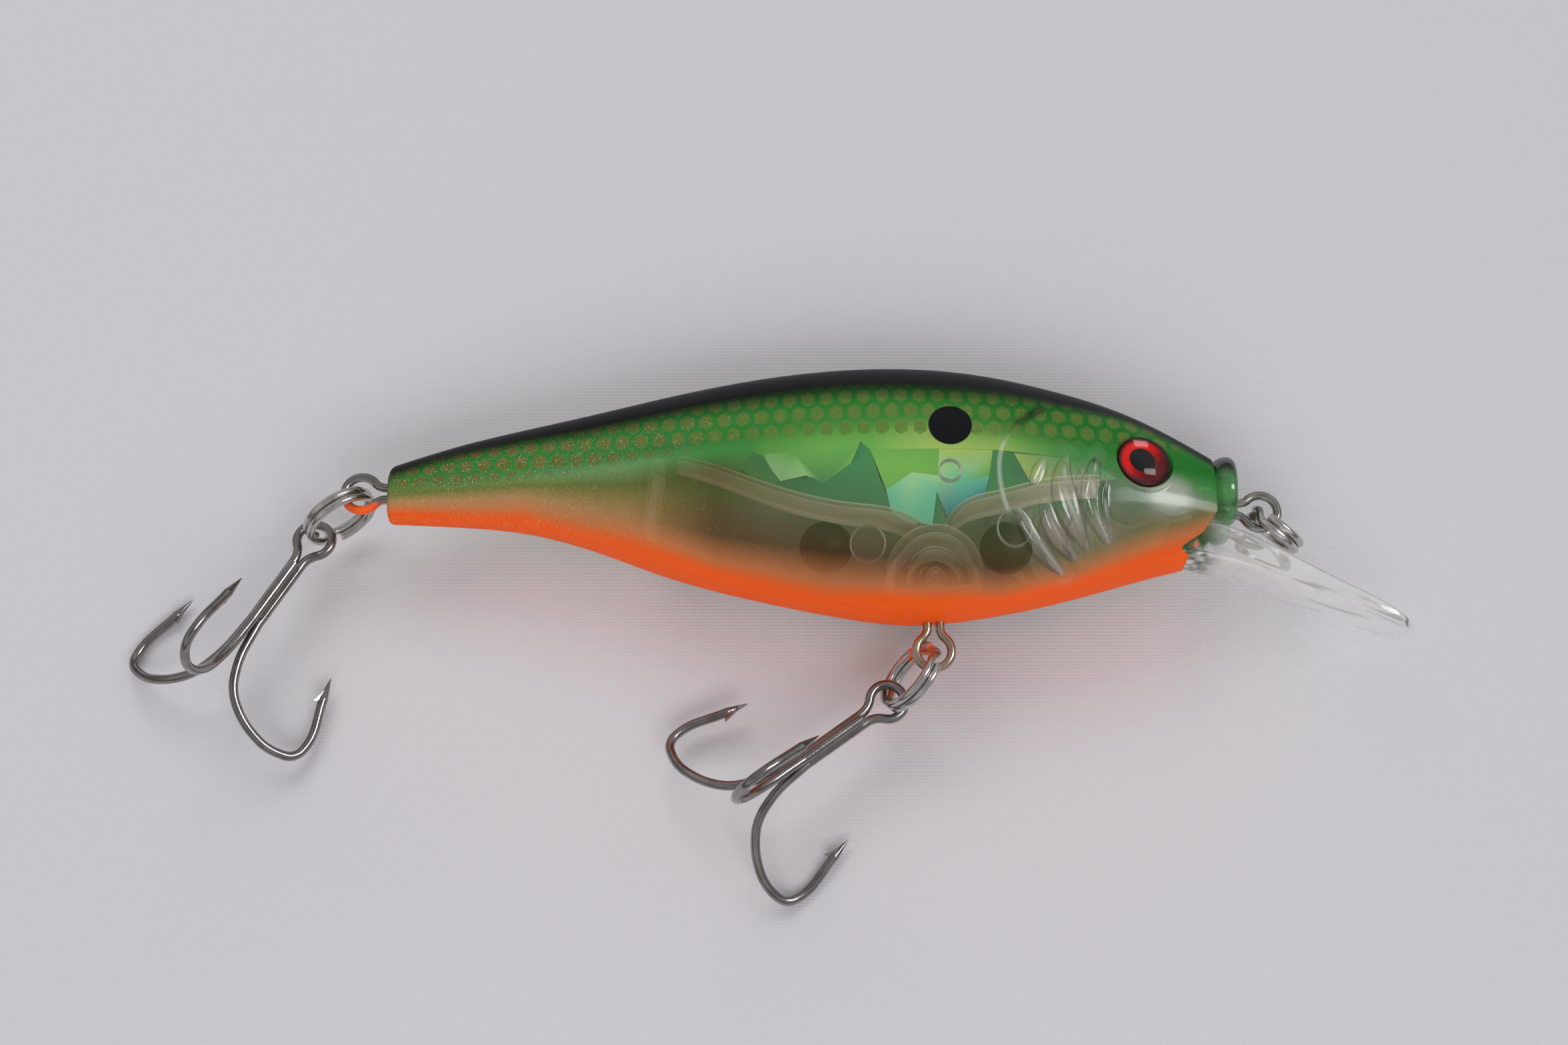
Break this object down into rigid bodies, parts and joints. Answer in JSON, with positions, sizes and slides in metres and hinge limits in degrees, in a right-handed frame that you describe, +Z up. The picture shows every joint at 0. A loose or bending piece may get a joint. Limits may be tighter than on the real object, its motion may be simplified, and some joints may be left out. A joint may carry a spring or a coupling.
{
  "type": "crankbait lure",
  "caption": "Shad-shaped hard fishing lure with a clear diving lip, a painted hollow see-through body with rattling balls, and treble hooks hung on split rings.",
  "frame": {"origin": "middle of the whole lure's box, on the surface it lies on, with the lure on its far flank and its hooks laid out", "axes": "+X towards the nose, +Y towards the back, +Z up, out of the near flank"},
  "size_m": [0.106, 0.0444, 0.0159],
  "materials": {
    "painted_clear_shell": "gloss, clear plastic sprayed black, green and orange",
    "clear_lip": "gloss, clear moulded plastic",
    "stainless_wire": "polished stainless wire with paint overspray",
    "nickel_ring": "bright nickel",
    "black_nickel_hook": "polished black nickel",
    "braze_metal": "plated braze",
    "prism_foil": "prismatic mirror foil",
    "eye_print": "printed metallic red with a black pupil",
    "clear_lens": "gloss, clear resin",
    "steel_ball": "polished steel"
  },
  "bodies": {
    "lure_body": {"near_body_half": "painted_clear_shell", "far_body_half": "painted_clear_shell", "diving_lip": "clear_lip", "line_tie_wire": "stainless_wire", "belly_hook_hanger": "stainless_wire", "tail_hook_hanger": "stainless_wire", "prism_foil_insert": "prism_foil", "near_eye_disc": "eye_print", "far_eye_disc": "eye_print", "near_eye_dome": "clear_lens", "far_eye_dome": "clear_lens"},
    "tie_ring": {"line_tie_ring": "nickel_ring"},
    "belly_ring": {"belly_split_ring": "nickel_ring"},
    "belly_treble": {"belly_treble_double_hook": "black_nickel_hook", "belly_treble_single_hook": "black_nickel_hook", "belly_treble_braze": "braze_metal"},
    "tail_ring": {"tail_split_ring": "nickel_ring"},
    "tail_treble": {"tail_treble_double_hook": "black_nickel_hook", "tail_treble_single_hook": "black_nickel_hook", "tail_treble_braze": "braze_metal"},
    "front_ball": {"front_rattle_ball": "steel_ball"},
    "rear_ball": {"rear_rattle_ball": "steel_ball"}
  },
  "joints": [
    {"name": "tie_ring_swing", "type": "hinge", "parent": "lure_body", "child": "tie_ring", "pos_m": [0.04109, 0.00969, 0.0065], "axis": [0, 0, 1], "range_deg": [-15, 85]},
    {"name": "belly_ring_swing", "type": "hinge", "parent": "lure_body", "child": "belly_ring", "pos_m": [0.01388, -0.00231, 0.0065], "axis": [0, 0, 1], "range_deg": [-12, 90]},
    {"name": "belly_treble_swing", "type": "hinge", "parent": "belly_ring", "child": "belly_treble", "pos_m": [0.01017, -0.00602, 0.00419], "axis": [0.129, -0.6121, 0.7802], "range_deg": [-20, 25]},
    {"name": "tail_ring_swing", "type": "hinge", "parent": "lure_body", "child": "tail_ring", "pos_m": [-0.03341, 0.01129, 0.0065], "axis": [0, 0, 1], "range_deg": [-90, 55]},
    {"name": "tail_treble_swing", "type": "hinge", "parent": "tail_ring", "child": "tail_treble", "pos_m": [-0.03755, 0.00839, 0.00357], "axis": [0.416, 0.156, -0.8959], "range_deg": [-28, 20]},
    {"name": "front_ball_roll", "type": "slide", "parent": "lure_body", "child": "front_ball", "axis": [0.9928, 0, 0.12], "range_m": [-0.0006, 0.006]},
    {"name": "rear_ball_roll", "type": "slide", "parent": "lure_body", "child": "rear_ball", "axis": [-0.9923, 0, 0.124], "range_m": [-0.0003, 0.009]}
  ]
}
